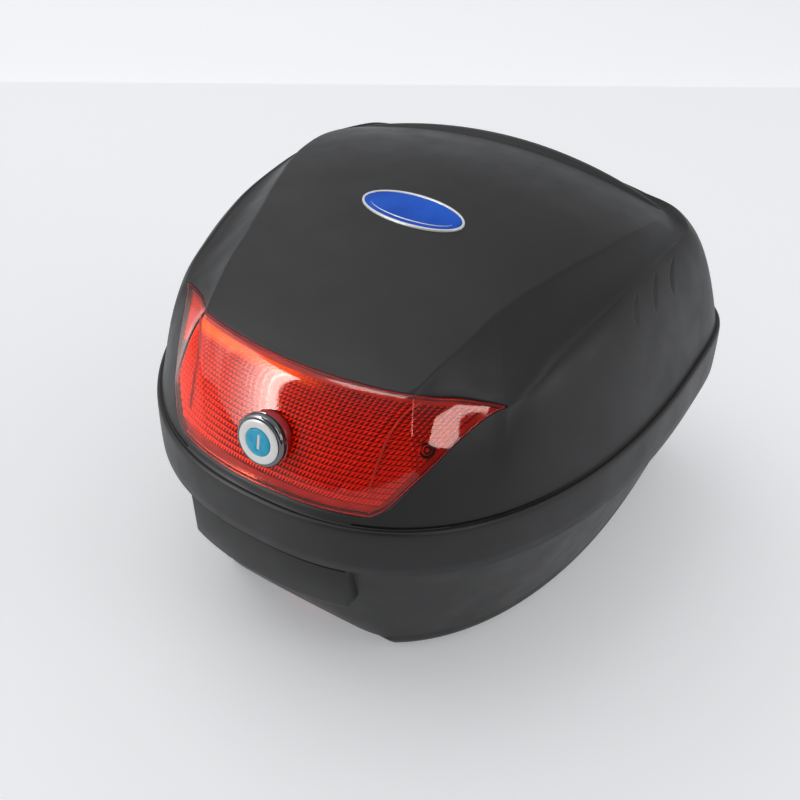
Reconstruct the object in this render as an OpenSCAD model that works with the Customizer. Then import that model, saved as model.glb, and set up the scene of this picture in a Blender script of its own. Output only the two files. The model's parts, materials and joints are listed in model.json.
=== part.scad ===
// Lockable top case: a tapered lower tub, a domed lid with a red rear lens, a push lock, a rear hinge
// and a quick-release mounting plate under the floor. Millimetres, +Z up, the case stands on z = 0.
// The lens and the lock face -Y, the hinge is on the +Y side, and the case is symmetric about x = 0.

/* [Case] */
// Half the width of the case at its widest line
half_w = 200; // [195:1:205]
// How far the front of the rim lies ahead of the widest line
front_reach = 296; // [290:1:300]
// How far the back of the rim lies behind the widest line
back_reach = 115; // [110:1:118]
// Height of the joint between tub and lid
split_z = 121; // [118:1:124]
// Height of the top edge of the lid's rim band
band_z = 160; // [158:1:162]
// Highest point of the lid
top_z = 283.5; // [280:0.5:287]
// Wall thickness of tub and lid
wall = 3; // [2.6:0.1:3.4]

/* [Tub] */
// Half the width of the tub at the foot of its side walls
foot_half_w = 170; // [166:1:174]
// Radius of the tub's bottom edge
foot_r = 18; // [14:1:20]
// Height of the raised floor over the mounting plate
floor_z = 19.5; // [18.5:0.5:20]
// Half the width of the grip block on the front of the tub
grip_half_w = 66; // [60:1:68]
// Height of the lower edge of the grip block
grip_z = 82; // [78:1:86]

/* [Lens and badge] */
// Thickness of the lens
lens_t = 2.6; // [2.2:0.1:3]
// Half the length of the badge
badge_a = 41; // [38:0.5:43]
// Half the height of the badge
badge_b = 17; // [15:0.5:18]

/* [Lock] */
// Radius of the chrome bezel
bezel_r = 19; // [18:0.5:20]
// Radius of the push button
button_r = 15.5; // [15:0.1:16]
// Travel of the push button
button_travel = 5; // [4:0.5:5]

/* [Hinge] */
// Distance of each hinge from the middle of the case
hinge_x = 75; // [65:1:80]
// Radius of the hinge pins
pin_r = 2.5; // [2:0.1:3]

/* [Mounting plate] */
// Width of the mounting plate
plate_w = 196; // [180:1:200]
// Length of the mounting plate
plate_l = 214; // [200:1:220]
// Distance between the bolt slots across the plate
slot_dx = 110; // [100:1:120]
// Distance between the bolt slots along the plate
slot_dy = 120; // [110:1:130]
// Length of each bolt slot
slot_l = 40; // [30:1:44]
// Half the width of each bolt slot, for M6 bolts
slot_r = 3.3; // [3.2:0.05:3.5]

/* [Hidden] */
ANGLES = 64;                      // points in each ring of a shell
WIDEST_Y = 85;                    // y of the widest line
APEX_Y = 45;                      // y of the vertical axis that the rings are measured from
FRONT_POWER = 2.4;                // fullness of the outline ahead of the widest line
BACK_POWER = 4;                   // fullness of the outline behind it
BASE_INSET = 5.5;                 // how far the dome and the tub wall lie inside the band
CLEAR = 0.4;                      // gap between pieces that move past each other
FOOT_SHIFT = 15;                  // the widest line of the foot lies this much further back
FOOT_FRONT = 285;                 // front reach of the foot, from its own widest line
FOOT_BACK = 95;                   // back reach of the foot, from its own widest line
PLATEAU = [214, 232, 16];         // recess under the raised floor: width, length, height
PLATEAU_Y = 5;                    // middle of the recess
LOCK_Y = -198.8;                  // middle of the button's face
LOCK_Z = 200.7;
LOCK_TILT = 13.2;                 // the lock looks up by this angle
STEM_R = 10.8;                    // hollow stem of the push button
KEY_HEAD_R = 9.8;                 // blue head of the key cylinder
KEY_R = 7.5;                      // body of the key cylinder
SLOT_W = 3;                       // key slot
SLOT_H = 12;
HINGE_Y = 205;                    // hinge axis
HINGE_Z = 112;
KNUCKLE_R = 6;
RAMP_Y = -159;                    // foot of the ramp under the grip block
RAMP_SLOPE = 0.66;                // how far the ramp leans forward for each millimetre up
PIVOT_Y = -176;                   // pivot of the latch hook
PIVOT_Z = 168;
STRIKER_Y = -168;                 // striker bar
STRIKER_Z = 150;
// Where the lens top, the sharp crease and the back edge of the channel run: x, y, z on the right side
OUTER_EDGE = [[0, -155, 237], [82.5, -145.3, 239], [91.8, -134.9, 234.2], [104.6, -124.8, 231.7],
  [118.2, -117.1, 229.3], [130.7, -111.8, 227.4], [137.1, -96.1, 233], [142.4, -66.1, 241.6],
  [150.6, -23.9, 248.1], [155, 33, 251.8], [157.2, 66, 250.5], [159, 100, 248], [156, 128, 246],
  [139, 144, 249], [110, 149, 252], [0, 152, 255]];
// The soft crease along the edge of the top panel
INNER_EDGE = [[0, -155, 237], [82.5, -145.3, 239], [88, -124.2, 248.3], [92.6, -107.8, 253.5],
  [100.1, -70.3, 262.9], [111.1, -36.3, 268.2], [123, -0.9, 271], [134.2, 40.9, 270.4], [140.7, 83.2, 263.6],
  [141, 110, 257.5], [136, 127, 254], [100, 136, 258.5], [0, 144, 266]];

function polar(p) = [atan2(p[0], APEX_Y - p[1]), norm([p[0], p[1] - APEX_Y]), p[2]];
OUTER_R = [for (p = OUTER_EDGE) [polar(p)[0], polar(p)[1]]];
OUTER_Z = [for (p = OUTER_EDGE) [polar(p)[0], p[2]]];
INNER_R = [for (p = INNER_EDGE) [polar(p)[0], polar(p)[1]]];
INNER_Z = [for (p = INNER_EDGE) [polar(p)[0], p[2]]];

function mix(a, b, t) = a + (b - a) * t;
function fold(q) = let (h = (q % 360 + 360) % 360) h > 180 ? 360 - h : h;

// Superellipse level of a point on an outline with half width a, reaches f and b and widest line at y = c
function level(x, y, a, f, b, c) = y < c
  ? pow(abs(x) / a, FRONT_POWER) + pow((c - y) / f, FRONT_POWER)
  : pow(abs(x) / a, BACK_POWER) + pow((y - c) / b, BACK_POWER);
// Distance from the apex axis to the outline in direction q, 0 at the front, found by halving
function seek(q, a, f, b, c, lo = 0, hi = 420, k = 0) = k == 22 ? (lo + hi) / 2
  : let (m = (lo + hi) / 2)
    level(m * sin(q), APEX_Y - m * cos(q), a, f, b, c) > 1
      ? seek(q, a, f, b, c, lo, m, k + 1)
      : seek(q, a, f, b, c, m, hi, k + 1);
// Rim outline, and the tub's wall between split (t = 0) and foot (t = 1)
function rim_reach(q) = seek(q, half_w, front_reach, back_reach, WIDEST_Y);
function wall_reach(q, t) = seek(q, mix(half_w - BASE_INSET, foot_half_w, t),
  mix(front_reach - BASE_INSET, FOOT_FRONT, t), mix(back_reach - BASE_INSET, FOOT_BACK, t),
  mix(WIDEST_Y, WIDEST_Y + FOOT_SHIFT, t));
RIM = [for (i = [0:ANGLES - 1]) rim_reach(i * 360 / ANGLES)];
function on_ring(q, r, z) = [r * sin(q), APEX_Y - r * cos(q), z];
function ring(inset, z) = [for (i = [0:ANGLES - 1]) on_ring(i * 360 / ANGLES, RIM[i] - inset, z)];
function flat_ring(r, z) = [for (i = [0:ANGLES - 1]) on_ring(i * 360 / ANGLES, r, z)];
function tub_t(z) = min(1, max(0, (split_z - z) / (split_z - foot_r)));
function tub_ring(inset, z) = [for (i = [0:ANGLES - 1])
  on_ring(i * 360 / ANGLES, wall_reach(i * 360 / ANGLES, tub_t(z)) - inset, z)];

// Height of the lid's side above the band, as a fraction, at u = 0 (band) to u = 1 (crease)
function rise(u) = 0.23 * u + 0.77 * (1 - pow(max(0, 1 - u), 1.9));
function side_point(q, u, depth) = let (h = fold(q), r0 = rim_reach(q) - BASE_INSET,
  r = mix(r0, lookup(h, OUTER_R), u), z = mix(band_z, lookup(h, OUTER_Z), rise(u)))
  on_ring(q, r - depth * (1 - 0.3 * u), z - 0.75 * depth * u);
// The channel between the two creases is hollowed by 4 mm
function channel_point(q, v, depth) = let (h = fold(q),
  r = mix(lookup(h, OUTER_R), lookup(h, INNER_R), v), z = mix(lookup(h, OUTER_Z), lookup(h, INNER_Z), v),
  gap = lookup(h, OUTER_R) - lookup(h, INNER_R))
  on_ring(q, r - 0.6 * depth, z - depth - min(4, gap / 8) * sin(180 * v));
// The top panel falls slowly from its apex and rolls over at its edge
function fall(s) = 0.88 * pow(s, 1.75) + 0.12 * pow(s, 9);
function panel_z(q, s) = mix(top_z, lookup(fold(q), INNER_Z), fall(s));
function panel_point(q, s, depth) = let (r = lookup(fold(q), INNER_R) - 0.6 * depth)
  on_ring(q, s * r, panel_z(q, s) - depth);
ROUND = [for (i = [0:ANGLES - 1]) i * 360 / ANGLES];
function dome_rings(depth) = concat(
  [for (u = [0, 0.12, 0.27, 0.45, 0.65, 0.85, 1]) [for (q = ROUND) side_point(q, u, depth)]],
  [for (v = [0.33, 0.67, 1]) [for (q = ROUND) channel_point(q, v, depth)]],
  [for (s = [0.88, 0.65, 0.35, 0.12]) [for (q = ROUND) panel_point(q, s, depth)]],
  [flat_ring(6, top_z - depth)]);

// A closed solid through rings that are listed from the bottom up
module loft(rings) {
  n = len(rings[0]);
  m = len(rings);
  sides = [for (j = [0:m - 2], i = [0:n - 1]) let (k = (i + 1) % n)
    each [[j * n + i, j * n + k, (j + 1) * n + k], [j * n + i, (j + 1) * n + k, (j + 1) * n + i]]];
  caps = [[for (i = [n - 1:-1:0]) i], [for (i = [0:n - 1]) (m - 1) * n + i]];
  polyhedron([for (r = rings) each r], [for (f = concat(sides, caps)) [for (k = [len(f) - 1:-1:0]) f[k]]]);
}
// A closed ring-shaped solid: profile gives [inset, z] corners, anticlockwise seen from the front
module hoop(profile) {
  n = ANGLES;
  m = len(profile);
  points = [for (p = profile) each ring(p[0], p[1])];
  faces = [for (j = [0:m - 1], i = [0:n - 1]) let (k = (i + 1) % n, l = (j + 1) % m)
    each [[j * n + i, j * n + k, l * n + k], [j * n + i, l * n + k, l * n + i]]];
  polyhedron(points, faces);
}
// A closed solid between two sheets of points, both cols x rows
module slab(outer, inner, cols, rows) {
  n = cols * rows;
  front = [for (j = [0:rows - 2], i = [0:cols - 2]) let (a = j * cols + i)
    each [[a, a + cols, a + 1], [a + 1, a + cols, a + cols + 1]]];
  back = [for (f = front) [f[2] + n, f[1] + n, f[0] + n]];
  edge = concat([for (i = [0:cols - 1]) i], [for (j = [1:rows - 1]) j * cols + cols - 1],
    [for (i = [cols - 2:-1:0]) (rows - 1) * cols + i], [for (j = [rows - 2:-1:1]) j * cols]);
  rim = [for (i = [0:len(edge) - 1]) let (a = edge[i], b = edge[(i + 1) % len(edge)])
    each [[a, b, b + n], [a, b + n, a + n]]];
  polyhedron(concat(outer, inner), concat(front, back, rim));
}
// Keeps a shell of many flats as one mesh
module one_mesh() {
  resize([0, 0, 0]) children();
}
module rounded_box(w, l, h, r) {
  linear_extrude(h) {
    square([w - 2 * r, l], center = true);
    square([w, l - 2 * r], center = true);
    for (x = [-1, 1], y = [-1, 1]) translate([x * (w / 2 - r), y * (l / 2 - r)]) circle(r, $fn = 48);
  }
}
// Frame of the lock: local z runs into the case from the button's face, local y runs down
module at_lock(depth = 0) {
  translate([0, LOCK_Y, LOCK_Z]) rotate([-90 - LOCK_TILT, 0, 0]) translate([0, 0, depth]) children();
}
module tube(r_out, r_in, h) difference() {
  cylinder(r = r_out, h = h, $fn = 64);
  translate([0, 0, -1]) cylinder(r = r_in, h = h + 2, $fn = 64);
}
// Pan-head screw: head up, shank down from z = 0
module screw(r_head, h_head, r_shank, l_shank) {
  translate([0, 0, -l_shank]) cylinder(r = r_shank, h = l_shank + 0.5, $fn = 24);
  difference() {
    cylinder(r = r_head, h = h_head, $fn = 32);
    translate([-r_head * 0.6, -0.4, h_head - 0.7]) cube([r_head * 1.2, 0.8, 2]);
    translate([-0.4, -r_head * 0.6, h_head - 0.7]) cube([0.8, r_head * 1.2, 2]);
  }
}

// ---- Tub ----
function tub_outer() = concat(
  [for (a = [90:-22.5:0]) tub_ring(foot_r * (1 - cos(a)), foot_r * (1 - sin(a)))],
  [for (z = [52, 86]) tub_ring(0, z)], [tub_ring(0, split_z - 0.8), ring(BASE_INSET + 1, split_z),
  ring(BASE_INSET + 1, 148)]);
function tub_inner() = concat(
  [tub_ring(wall + foot_r * 0.55, wall), tub_ring(wall + foot_r * 0.1, wall + foot_r * 0.5)],
  [for (z = [foot_r + 4, 52, 86, split_z - 2]) tub_ring(wall, z)],
  [ring(BASE_INSET + 1 + wall, split_z), ring(BASE_INSET + 1 + wall, 160)]);
// Ramp under the grip block and the hollow for the fingers above it; grown by g for the wall around them
module scoop(g) {
  translate([-90, 0, 0]) rotate([90, 0, 90]) linear_extrude(180)
    polygon([[RAMP_Y + g, -5], [RAMP_Y + g - RAMP_SLOPE * 100, 95], [-300, 95], [-300, -5]]);
  translate([-52 - g, -230, grip_z - 26]) cube([104 + 2 * g, 230 - 184 + g, 56 + g]);
}
module plate_recess(g) {
  translate([0, PLATEAU_Y, -1]) rounded_box(PLATEAU[0] + 2 * g, PLATEAU[1] + 2 * g, PLATEAU[2] + 1 + g, 14);
  translate([-30 - g, -200, -1]) cube([60 + 2 * g, 100, PLATEAU[2] + 1 + g]);
}
module tub() color("#2b2c2f") one_mesh() difference() {
  loft(tub_outer());
  difference() {
    loft(tub_inner());
    plate_recess(floor_z - PLATEAU[2]);
    scoop(wall);
  }
  plate_recess(0);
  scoop(0);
}
// y of the band's face at x, lying inset inside it
function face_y(x, inset) = let (t = abs(x) / (half_w - inset))
  WIDEST_Y - (front_reach - inset) * pow(1 - pow(t, FRONT_POWER), 1 / FRONT_POWER);
module grip_plan(w, inset) {
  polygon(concat([for (i = [-12:12]) [w * i / 12, face_y(w * i / 12, inset)]], [[w, -184], [-w, -184]]));
}
module front_grip() color("#2a2b2e") one_mesh() difference() {
  translate([0, 0, grip_z]) linear_extrude(split_z - 1.2 - grip_z) grip_plan(grip_half_w, 0.6);
  translate([0, 0, grip_z - 1]) linear_extrude(split_z - 4.2 - grip_z) grip_plan(grip_half_w - 4, 3.8);
  loft([for (z = [60, 86, split_z + 1]) tub_ring(-0.2, z)]);
}
// Two screws from inside the tub hold the top of the grip block
module grip_screws() color("#8d9095") for (x = [-1, 1])
  translate([x * 58, face_y(58, BASE_INSET + wall) + 0.6, 115]) rotate([-90, 0, x * 20])
    screw(3.2, 1.8, 1.6, 5);
module rim_seal() color("#151515")
  hoop([[4.6, 148.2], [4.2, 152], [5.2, 156.4], [7.8, 156.4], [9, 152], [8.6, 148.2]]);

// ---- Hinges ----
// Tub side: two outer knuckles on a plate that is screwed to the tub's back wall
module hinge_bracket(side) color("#242528") translate([side * hinge_x, HINGE_Y, HINGE_Z]) difference() {
  union() {
    for (x = [-30, 16]) {
      rotate([0, 90, 0]) translate([0, 0, x]) cylinder(r = KNUCKLE_R, h = 14, $fn = 48);
      translate([x, -8, -KNUCKLE_R]) cube([14, 8, 2 * KNUCKLE_R]);
    }
    translate([-30, -11.4, -26]) cube([60, 3.9, 26 + KNUCKLE_R]);
  }
  rotate([0, 90, 0]) translate([0, 0, -40]) cylinder(r = pin_r, h = 80, $fn = 48);
  for (x = [-20, 20]) translate([x, -20, -18]) rotate([-90, 0, 0]) cylinder(r = 2.1, h = 30, $fn = 32);
}
module hinge_bracket_left() hinge_bracket(-1);
module hinge_bracket_right() hinge_bracket(1);
module hinge_pin(side) color("#b9bcc0") translate([side * hinge_x, HINGE_Y, HINGE_Z]) rotate([0, 90, 0]) {
  translate([0, 0, -31]) cylinder(r = pin_r, h = 62, $fn = 48);
  translate([0, 0, -32.5]) cylinder(r = pin_r + 1.6, h = 1.9, $fn = 48);
}
module hinge_pin_left() hinge_pin(-1);
module hinge_pin_right() hinge_pin(1);
module hinge_bracket_screws() color("#8d9095") for (side = [-1, 1], x = [-20, 20])
  translate([side * hinge_x + x, HINGE_Y - 7.5, HINGE_Z - 18]) rotate([-90, 0, 0]) screw(3.6, 2.2, 2, 12);
// Lid side: one middle knuckle under a plate that is screwed to the back of the band
module lid_hinge(side) color("#242528") translate([side * hinge_x, HINGE_Y, HINGE_Z]) difference() {
  union() {
    rotate([0, 90, 0]) translate([0, 0, -15.5]) cylinder(r = KNUCKLE_R, h = 31, $fn = 48);
    translate([-15.5, -5, 0]) cube([31, 5.5, 12]);
    translate([-26, -5.8, 9.6]) cube([52, 4.8, 36]);
  }
  rotate([0, 90, 0]) translate([0, 0, -40]) cylinder(r = pin_r + 0.05, h = 80, $fn = 48);
  for (x = [-18, 18]) translate([x, -20, 30]) rotate([-90, 0, 0]) cylinder(r = 2.1, h = 40, $fn = 32);
}
module lid_hinge_left() lid_hinge(-1);
module lid_hinge_right() lid_hinge(1);
module lid_hinge_screws() color("#8d9095") for (side = [-1, 1], x = [-18, 18])
  translate([side * hinge_x + x, HINGE_Y - 1, HINGE_Z + 30]) rotate([-90, 0, 0]) screw(3.6, 2.2, 2, 9);

// ---- Striker, mat and plate catch ----
// The bar that the latch hook reaches under, on two legs from a foot on the scoop's wall
module striker() color("#b5b8bc") {
  translate([-12, STRIKER_Y, STRIKER_Z]) rotate([0, 90, 0]) cylinder(r = 2.5, h = 24, $fn = 32);
  for (x = [-14, 11]) translate([x, STRIKER_Y - 3, 113]) cube([3, 6, STRIKER_Z - 113 + 3.5]);
  translate([-26, STRIKER_Y - 12.5, 112.5]) cube([52, 16, 2.5]);
}
module striker_screws() color("#8d9095") for (x = [-20, 20])
  translate([x, STRIKER_Y - 6, 115]) screw(3.4, 2, 1.8, 5);
module interior_mat() color("#1d1d1f") translate([0, PLATEAU_Y, floor_z]) rounded_box(206, 216, 2.5, 12);
module catch_guide() color("#1f2022") difference() {
  translate([-28, -134, 2]) cube([56, 26, PLATEAU[2] - 2]);
  translate([-16.3, -140, 3.7]) cube([32.6, 40, 6.6]);
  for (x = [-22, 22]) translate([x, -121, 0]) cylinder(r = 2.1, h = 20, $fn = 32);
}
module catch_guide_screws() color("#8d9095") for (x = [-22, 22])
  translate([x, -121, 2]) rotate([180, 0, 0]) screw(3.4, 1.6, 1.9, 15);
// Bolt whose nose stands before the plate's front edge, pushed back by its spring
module plate_catch() color("#a9acb0") difference() {
  union() {
    translate([-16, -150, 4]) cube([32, 46.6, 6]);
    translate([-16, -150, 4]) cube([32, 4, 9]);
  }
  translate([-5, -138, 2]) cube([10, 24, 10]);
}
module release_tab() color("#8e1217") difference() {
  translate([-24, -160, 2.5]) cube([48, 10, 11.5]);
  translate([-18, -157, 1]) cube([36, 5, 9]);
}
module spring_coil(r, wire, turns, l, steps = 10) {
  n = turns * steps;
  k = 6;
  points = [for (i = [0:n], j = [0:k - 1]) let (a = 360 * i / steps, b = 360 * j / k)
    [(r + wire * cos(b)) * cos(a), (r + wire * cos(b)) * sin(a), l * i / n + wire * sin(b)]];
  faces = [for (i = [0:n - 1], j = [0:k - 1]) let (a = i * k + j, b = i * k + (j + 1) % k)
    each [[a, b, b + k], [a, b + k, a + k]]];
  polyhedron(points, concat(faces, [[for (j = [k - 1:-1:0]) j]], [[for (j = [0:k - 1]) n * k + j]]));
}
module catch_spring() color("#c9ccd0")
  translate([0, -137, 7]) rotate([-90, 0, 0]) spring_coil(2.6, 0.45, 8, 22);

// ---- Lid ----
module lid_shell() color("#2b2c2f") one_mesh() difference() {
  union() {
    difference() {
      loft(concat([ring(0, split_z), ring(0.3, split_z + 8), ring(1.5, band_z - 2), ring(3, band_z),
        ring(BASE_INSET - 0.8, band_z - 0.4)], dome_rings(0)));
      loft(concat([ring(wall, split_z - 5), ring(wall + 0.8, band_z - 3.1)],
        [ring(BASE_INSET + wall, band_z - 3)], dome_rings(wall)));
    }
    lens_patch(8, wall - 0.6, 1.5);
  }
  lens_patch(lens_t + 2.4, -12, 0.3);
  at_lock(-5) cylinder(r = 12.6, h = 60, $fn = 48);
  for (x = [-1, 1]) at_lens_screw(x) translate([0, 0, -20]) cylinder(r = 1.9, h = 30, $fn = 24);
}
// The crescent along the back edge of the top panel
function lip_radius(t) = 1.2 + 5.8 * pow(cos(90 * t), 0.7);
module rear_lip() color("#292a2d") {
  n = 24;
  k = 10;
  points = [for (i = [-n / 2:n / 2], j = [0:k - 1]) let (t = 2 * i / n, b = 360 * j / k, r = lip_radius(t))
    [139 * t, 141 - 14 * t * t + 1.3 * r * cos(b), 264 - 12.6 * t * t + r * sin(b)]];
  faces = [for (i = [0:n - 1], j = [0:k - 1]) let (a = i * k + j, b = i * k + (j + 1) % k)
    each [[a, b + k, b], [a, a + k, b + k]]];
  polyhedron(points, concat(faces, [[for (j = [0:k - 1]) j]], [[for (j = [k - 1:-1:0]) n * k + j]]));
}

// ---- Lens ----
LENS_COLS = 25;
LENS_ROWS = 7;
LENS_FOOT = 18.1;                 // half angle of the lens at the band
LENS_TIP = 39.8;                  // half angle at its upper corners
COLLAR_HOLE_R = 16.4;             // hole for the lock's collar in the lens and its backing
// Half angle of the lens at height v: its slanted edge runs almost straight to the upper corner
function lens_angle(v) = mix(LENS_FOOT, LENS_TIP, v * (1.217 - 0.217 * v));
// Grid over the lens, from depth d under the dome's surface, grown by g mm at its edges
function lens_sheet(d, g) = [for (j = [0:LENS_ROWS - 1], i = [0:LENS_COLS - 1])
  let (v = mix(0.05, 1, j / (LENS_ROWS - 1)) + (j == 0 ? -g : j == LENS_ROWS - 1 ? g : 0) / 60,
    edge = lens_angle(v) + g / 3, q = edge * (2 * i / (LENS_COLS - 1) - 1))
  side_point(q, v, d)];
module lens_patch(deep, shallow, g) {
  slab(lens_sheet(shallow, g), lens_sheet(deep, g), LENS_COLS, LENS_ROWS);
}
module at_lens_screw(side) translate([side * 97, -153, 206.6]) rotate([62, 0, side * 38]) children();
module lens() color([0.75, 0.03, 0.03, 0.6]) one_mesh() difference() {
  lens_patch(lens_t, 0, 0);
  at_lock(-5) cylinder(r = COLLAR_HOLE_R, h = 60, $fn = 48);
}
module lens_backing() color("#7a0a0c") one_mesh() difference() {
  lens_patch(lens_t + 2, lens_t + 0.4, -0.6);
  at_lock(-5) cylinder(r = COLLAR_HOLE_R, h = 60, $fn = 48);
}
module lens_screws() color("#3a3b3e") for (x = [-1, 1])
  at_lens_screw(x) translate([0, 0, -7]) screw(3.2, 1.6, 1.5, 9);

// ---- Badge ----
module badge_plan(grow)
  polygon([for (a = [0:5:355]) [(badge_a + grow) * cos(a), (badge_b + grow) * sin(a)]]);
module at_badge() translate([0, -14, 278]) rotate([8.5, 0, 0]) children();
module badge_rim() color("#c4c7cb") at_badge() difference() {
  translate([0, 0, -1.4]) linear_extrude(3) badge_plan(0);
  translate([0, 0, 0.6]) linear_extrude(3) badge_plan(-2);
}
module badge_face() color("#1f4fae") at_badge() translate([0, 0, 0.6]) linear_extrude(0.8) badge_plan(-2);

// ---- Lock ----
// Depths along the lock axis: lens at 12, lid wall 17 to 20.5
module lock_collar() color("#8f1417") at_lock(7) tube(16.3, 12.4, 8);
module lock_bezel() color("#d5d8dc") at_lock() difference() {
  union() {
    translate([0, 0, 1.2]) cylinder(r = bezel_r, h = 5.6, $fn = 64);
    translate([0, 0, 6]) cylinder(r = 12.2, h = 26, $fn = 64);
  }
  translate([0, 0, -1]) cylinder(r = button_r + 0.06, h = 7, $fn = 64);
  translate([0, 0, -1]) cylinder(r = STEM_R + 0.06, h = 40, $fn = 64);
}
module lock_gasket() color("#151515") at_lock(15.2) tube(16.2, 12.3, 1.6);
module lock_nut() color("#a2a5a9") at_lock(22.6) difference() {
  cylinder(r = 17, h = 5, $fn = 6);
  translate([0, 0, -1]) cylinder(r = 12.25, h = 8, $fn = 48);
}
module lock_button() color("#c9ccd1") at_lock() difference() {
  union() {
    cylinder(r = button_r, h = 0.8, $fn = 64);
    translate([0, 0, 0.4]) cylinder(r = STEM_R, h = 35.6, $fn = 64);
  }
  translate([0, 0, -1]) cylinder(r = KEY_HEAD_R + 0.06, h = 4.4, $fn = 64);
  translate([0, 0, -1]) cylinder(r = KEY_R + 0.06, h = 40, $fn = 64);
}
module lock_spring() color("#c9ccd0") at_lock(1.4) spring_coil(11.6, 0.45, 3, 4);
module key_cylinder() color("#2fb0d8") at_lock() difference() {
  union() {
    translate([0, 0, -0.2]) cylinder(r = KEY_HEAD_R, h = 3.2, $fn = 64);
    translate([0, 0, 1]) cylinder(r = KEY_R, h = 35, $fn = 64);
  }
  translate([-SLOT_W / 2, -SLOT_H / 2, -1]) cube([SLOT_W, SLOT_H, 18]);
}
// Pale metal lining of the key slot, with the key's own gap in it
module key_slot_liner() color("#d8d2b8") at_lock() difference() {
  translate([-SLOT_W / 2, -SLOT_H / 2, 0.3]) cube([SLOT_W, SLOT_H, 16.7]);
  translate([-0.5, -SLOT_H / 2 + 0.8, -1]) cube([1, SLOT_H - 1.6, 17]);
}
module lock_cam() color("#a2a5a9") at_lock(36) difference() {
  union() {
    cylinder(r = 8, h = 2.5, $fn = 48);
    translate([-4, 0, 0]) cube([8, 13, 2.5]);
  }
  translate([0, 0, -1]) cylinder(r = 2.05, h = 5, $fn = 32);
}
module cam_screw() color("#8d9095") at_lock(38.5) screw(3.5, 1.8, 2, 8);

// ---- Latch ----
module latch_bracket() color("#a9acb0") difference() {
  union() {
    at_lock(20.6) translate([-19, -14, 0]) cube([38, 48, 2]);
    at_lock(22) for (x = [-15.5, 13]) translate([x, 20, 0]) cube([2.5, 14, 13]);
  }
  at_lock(10) cylinder(r = 12.3, h = 30, $fn = 64);
  translate([-30, PIVOT_Y, PIVOT_Z]) rotate([0, 90, 0]) cylinder(r = 2, h = 60, $fn = 32);
}
module latch_pin() color("#c4c7cb") translate([0, PIVOT_Y, PIVOT_Z]) rotate([0, 90, 0]) {
  translate([0, 0, -17]) cylinder(r = 2, h = 34, $fn = 32);
  translate([0, 0, -17.6]) cylinder(r = 3.2, h = 1.8, $fn = 32);
}
// Lever: the lock's cam pushes its upper end in, and its nose under the striker swings out
module latch_hook() color("#b5b8bc") translate([0, PIVOT_Y, PIVOT_Z]) difference() {
  rotate([90, 0, 90]) translate([0, 0, -6]) linear_extrude(12) polygon([[-3, 4], [-4.5, 0], [-4.5, -23],
    [1, -26.5], [4.6, -24], [4.4, -21.4], [1, -20.8], [4, -2], [14, 1.5], [18.8, 6.5], [20.4, 18], [22, 28.6],
    [18, 28.6], [15.9, 19.5], [14.5, 9], [12.5, 6.2], [3, 4.5]]);
  rotate([0, 90, 0]) translate([0, 0, -20]) cylinder(r = 2.05, h = 40, $fn = 32);
}
module latch_spring() color("#c9ccd0")
  translate([7, PIVOT_Y, PIVOT_Z]) rotate([0, 90, 0]) spring_coil(3.3, 0.5, 4, 4.6);

// ---- Mounting plate ----
module slot_cut(w, r) {
  cube([w - 2 * r, 2 * r, 60], center = true);
  for (x = [-1, 1]) translate([x * (w / 2 - r), 0, 0]) cylinder(r = r, h = 60, center = true, $fn = 48);
}
module mounting_plate() color("#1e1f21") translate([0, PLATEAU_Y, 0]) difference() {
  union() {
    translate([0, 0, 0.8]) rounded_box(plate_w, plate_l, 8, 20);
    translate([0, 0, 8]) rounded_box(plate_w - 30, plate_l - 30, 4, 14);
  }
  translate([0, 0, -1]) rounded_box(plate_w - 40, plate_l - 40, 6, 12);
  for (x = [-1, 1], y = [-1, 1]) translate([x * slot_dx / 2, y * slot_dy / 2, 0]) slot_cut(slot_l, slot_r);
  translate([0, 0, -5]) cylinder(r = 22, h = 30, $fn = 64);
}
module plate_pads() color("#151515") for (x = [-1, 1], y = [-1, 1])
  translate([x * (plate_w / 2 - 9), PLATEAU_Y + y * (plate_l / 2 - 40), 8.8]) rounded_box(10, 30, 5, 3);
module plate_cover() color("#242528") translate([0, PLATEAU_Y, 8]) difference() {
  union() {
    cylinder(r = 21.9, h = 4, $fn = 64);
    translate([0, 0, 4]) cylinder(r = 26, h = 1.6, $fn = 64);
  }
  translate([0, 0, -1]) cylinder(r = 18, h = 4, $fn = 64);
}

tub();
front_grip();
grip_screws();
rim_seal();
hinge_bracket_left();
hinge_bracket_right();
hinge_pin_left();
hinge_pin_right();
hinge_bracket_screws();
striker();
striker_screws();
interior_mat();
catch_guide();
catch_guide_screws();
plate_catch();
release_tab();
catch_spring();
lid_shell();
rear_lip();
lid_hinge_left();
lid_hinge_right();
lid_hinge_screws();
lens();
lens_backing();
lens_screws();
badge_rim();
badge_face();
lock_collar();
lock_bezel();
lock_gasket();
lock_nut();
latch_bracket();
latch_pin();
latch_hook();
latch_spring();
lock_button();
lock_spring();
key_cylinder();
key_slot_liner();
lock_cam();
cam_screw();
mounting_plate();
plate_pads();
plate_cover();
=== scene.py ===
import json
import math

import bmesh
import bpy
import numpy as np
from mathutils import Matrix, Vector


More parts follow.
